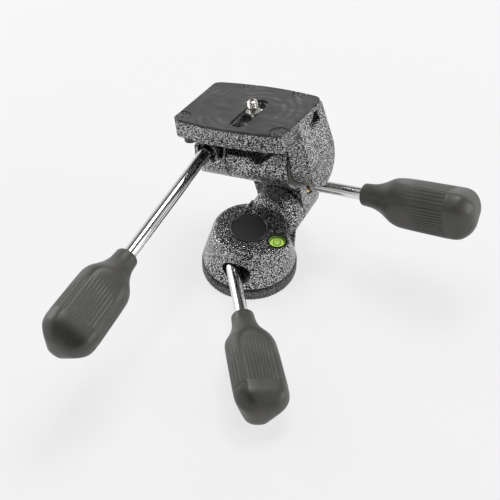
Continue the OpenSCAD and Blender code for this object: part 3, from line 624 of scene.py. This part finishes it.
def grip_mesh(bm):
    shrunk = [(height * MOULD_SHRINK / MM_PER_METRE, max(radius, 0) * MOULD_SHRINK / MM_PER_METRE)
              for height, radius in outline]
    spun(bm, shrunk, RIBS * STEPS_PER_RIB)
    for v in bm.verts:
        radius, angle = math.hypot(v.co.x, v.co.y), math.atan2(v.co.y, v.co.x)
        if radius > ON_THE_AXIS:
            v.co.xy = v.co.xy * (grip_radius(radius, angle, v.co.z / GRIP_LENGTH) / radius)

print("ribs round a grip:", RIBS)

# %% [markdown]
# ## Three grips on three rods
# The three grips come from one mould. Only their places differ: how far along its rod each one
# starts, in metres from the joint, and how far it is rolled about the rod, in degrees.

# %% Place the grips
GRIP_SEATS = {"pan": (0.0568, -14), "lean": (0.0522, -28), "tip": (0.1106, -28)}

for way, (reach, roll) in GRIP_SEATS.items():
    grip = finished_object(way + "_ribbed_grip", grip_mesh,
                           rod_matrix(way + "_handle_turn", reach, math.radians(roll)),
                           grip_rubber)
    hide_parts(way + "_grip")
    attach(grip, way + "_handle")
    print(grip.name, "faces:", len(grip.data.polygons))

# %% [markdown]
# ## The camera screw
# The screw that stands up through the pad has a real thread, 20 turns to the inch. A screw thread
# is a zigzag outline that climbs as it is spun, so one turn of a spin with a rise of one pitch
# makes the whole flank at once. Two cuts trim its ends, and the top is drawn in to a dome.

# %% Thread
THREAD_PITCH, THREAD_STEPS = 0.00127, 32
ROOT_RADIUS, CREST_RADIUS = 0.0026, 0.00317
THREAD_PROFILE = ((0.0, ROOT_RADIUS), (0.12, ROOT_RADIUS), (0.46, CREST_RADIUS),
                  (0.62, CREST_RADIUS))
THREAD_START, STUD_TOP, TOP_TRIM = 0.0171, 0.0219, 0.0001
DOME_HEIGHT, DOME_FLAT = 0.0021, 0.0002


def thread_mesh(bm):
    turns = math.ceil((STUD_TOP - THREAD_START) / THREAD_PITCH) + 2
    starts = [THREAD_START - 2 * THREAD_PITCH + turn * THREAD_PITCH for turn in range(turns)]
    zigzag = [(start + share * THREAD_PITCH, radius)
              for start in starts for share, radius in THREAD_PROFILE]
    spun(bm, zigzag, THREAD_STEPS, dvec=(0, 0, THREAD_PITCH / THREAD_STEPS))
    for height, up in ((THREAD_START, -1), (STUD_TOP - TOP_TRIM, 1)):
        cut = bmesh.ops.bisect_plane(bm, geom=bm.verts[:] + bm.edges[:] + bm.faces[:], dist=1e-7,
                                     plane_co=(0, 0, height), plane_no=(0, 0, up),
                                     clear_outer=True)
        rim = [e for e in cut["geom_cut"] if isinstance(e, bmesh.types.BMEdge)]
        bmesh.ops.edgeloop_fill(bm, edges=rim)
    for v in bm.verts:
        depth, radius = STUD_TOP - v.co.z, math.hypot(v.co.x, v.co.y)
        if depth < DOME_HEIGHT:
            arch = math.sqrt(max(0.0, 1 - (1 - depth / DOME_HEIGHT) ** 2))
            dome = CREST_RADIUS * arch + DOME_FLAT
            if radius > dome:
                v.co.x, v.co.y = v.co.x * dome / radius, v.co.y * dome / radius

print("thread steps:", THREAD_STEPS)

# %% [markdown]
# ## The plain neck below the thread
# Under the thread the screw is plain, so that it turns freely in its guide. A disc extruded
# upwards makes it. Its end is pushed a little way into the thread, where it can't be seen.

# %% Place the stud
NECK_RADIUS, NECK_SIDES, NECK_OVERLAP = 0.002675, 32, 0.0002

screw_turn = joints["screw_turn"]
upward = Vector(screw_turn["axis"]).normalized()
across = upward.cross(Vector((0, 1, 0))).normalized()
screw_place = (Matrix.Translation(Vector(screw_turn["pos_m"]))
               @ Matrix((across, upward.cross(across), upward)).transposed().to_4x4())


def stud_and_neck(bm):
    thread_mesh(bm)
    bmesh.ops.create_circle(bm, cap_ends=True, segments=NECK_SIDES, radius=NECK_RADIUS)
    lowest_face = min(bm.faces, key=lambda face: face.calc_center_median().z)
    risen = bmesh.ops.extrude_face_region(bm, geom=[lowest_face])
    bmesh.ops.translate(bm, vec=(0, 0, THREAD_START + NECK_OVERLAP),
                        verts=[v for v in risen["geom"] if isinstance(v, bmesh.types.BMVert)])


stud = finished_object("threaded_stud", stud_and_neck, screw_place, stud_steel, smooth=False)
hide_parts("camera_screw")
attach(stud, "camera_screw")
print("stud faces:", len(stud.data.polygons))

# %% [markdown]
# ## The stop pin
# Beside the root of the long handle a small black pin with a round head stands out of the boss.
# It could be a cylinder with half a sphere on it, but a quarter arc and a straight side, spun
# once, give the pin and its flat dome as one closed skin.

# %% Pin
PIN_RADIUS, PIN_DOME, PIN_FOOT, PIN_STEPS = 0.0017, 0.0011, -0.0012, 32
PIN_PLACE = Vector((-0.0312, 0.0110, 0.0667))


def pin_mesh(bm):
    arc = [(PIN_DOME * math.sin(math.radians(a)), PIN_RADIUS * math.cos(math.radians(a)))
           for a in range(0, 91, 15)]
    spun(bm, [(PIN_FOOT, PIN_RADIUS)] + arc, PIN_STEPS)
    bmesh.ops.holes_fill(bm, edges=[e for e in bm.edges if e.is_boundary], sides=0)


pin_place = rod_matrix("tip_handle_turn", 0.0, 0.0)
pin_place.translation = PIN_PLACE
pin = finished_object("boss_stop_pin", pin_mesh, pin_place, black_plastic)
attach(pin, "platform")
print("pin faces:", len(pin.data.polygons))

# %% [markdown]
# ## The floor
# The object stands on a pale sweep, a plain matt surface that takes its shadow. Stronger lamps
# could make it white, but would wash out the object. So the camera sees it lifted towards white,
# more so further out, and metal and glass see it lifted too. A Light Path node tells which ray
# asks, and a Mix Shader puts a plain white over the matt surface.

# %% Floor
FLOOR_SIZE, FLOOR_DROP = 30.0, 0.0002
LIFT_FROM, LIFT_FULL, LEAST_LIFT = 0.22, 0.8, 0.74


def floor_finish():
    sweep = Finish("pale_floor", Roughness=0.9, Base_Color=(0.80, 0.79, 0.795, 1))
    camera_ray, glossy_ray, clear_ray = [
        sweep.node("ShaderNodeLightPath", output=name)
        for name in ("Is Camera Ray", "Is Glossy Ray", "Is Transmission Ray")]
    glow = sweep.node("ShaderNodeEmission", {}, {"Color": (0.99, 0.98, 0.985, 1),
                                                 "Strength": 1.0})
    reach = sweep.vector_value("LENGTH", sweep.place())
    lifted = sweep.spread(reach, LIFT_FROM, LIFT_FULL, LEAST_LIFT, 1.0)
    share = sweep.node("ShaderNodeMath", {"operation": "MAXIMUM"},
                       {0: camera_ray * lifted, 1: (glossy_ray + clear_ray) * LEAST_LIFT})
    matt = Signal(sweep, sweep.shader.outputs[0])
    mixed = sweep.node("ShaderNodeMixShader", {}, {0: share, 1: matt, 2: glow})
    surface = sweep.tree.nodes["Material Output"].inputs["Surface"]
    sweep.tree.links.new(mixed.socket, surface)
    return sweep.material


def floor_mesh(bm):
    bmesh.ops.create_grid(bm, x_segments=2, y_segments=2, size=FLOOR_SIZE)


floor = finished_object("floor", floor_mesh, Matrix.Translation((0, 0, -FLOOR_DROP)),
                        floor_finish())
print("floor:", floor.name)

# %% [markdown]
# ## Lamps
# A wide lamp overhead lights the head softly from behind. Alone it would leave the paint dull
# and the upright faces dark, so a small lamp beside it makes the sparks on the paint, and one on
# each side lights the upright faces. All four face a point in the middle of the object, which a
# track rotation gives.

# %% Lamps
LIT_POINT = Vector((0, 0, 0.04))
LAMPS = {"overhead": ((0.0, 0.38, 1.02), 0.42, 4.4), "sparkle": ((-0.15, 0.02, 1.05), 0.16, 1.1),
         "right_side": ((0.95, 0.25, 0.40), 0.6, 3.3), "left_side": ((-0.95, 0.05, 0.45), 0.6, 3.8)}

for name, (place, size, watts) in LAMPS.items():
    data = bpy.data.lights.new(name, "AREA")
    data.shape, data.size, data.energy = "SQUARE", size, watts
    lamp = bpy.data.objects.new(name, data)
    lamp.location = place
    lamp.rotation_euler = (LIT_POINT - Vector(place)).to_track_quat("-Z", "Y").to_euler()
    bpy.context.collection.objects.link(lamp)
print("lamps:", len(LAMPS))

# %% [markdown]
# ## The room
# Polished metal shows the room, so the room has a pattern. A picture of a studio could be wrapped
# round the scene, but two ramps on the direction are enough for a plain one. It is pale near the
# horizon and darker overhead, so that upright faces come out lighter than level ones, and it is
# dark behind the camera, which draws the dark lines on the rods. The two are multiplied.

# %% Room
UPWARDS = (0, 0, 1)
BEHIND_CAMERA = (math.sin(AZIMUTH) * 0.8, -math.cos(AZIMUTH) * 0.8, 0.6)


def room():
    world = bpy.data.worlds.new("studio")
    world.use_nodes = True
    view = Graph(world.node_tree)
    direction = view.node("ShaderNodeTexCoord", output="Generated")
    height = view.vector_value("DOT_PRODUCT", direction, UPWARDS)
    camera_side = view.vector_value("DOT_PRODUCT", direction, BEHIND_CAMERA)
    sky = view.ramp(height, (0.10, grey(0.90)), (0.66, grey(0.14)))
    shade = view.ramp(camera_side, (0.70, grey(1.0)), (0.90, grey(0.12)))
    both = view.mix(1.0, sky, shade, "MULTIPLY")
    view.tree.links.new(both.socket, view.tree.nodes["Background"].inputs["Color"])
    return world


bpy.context.scene.world = room()
bpy.context.scene.view_settings.view_transform = "Standard"
print("world:", bpy.context.scene.world.name)
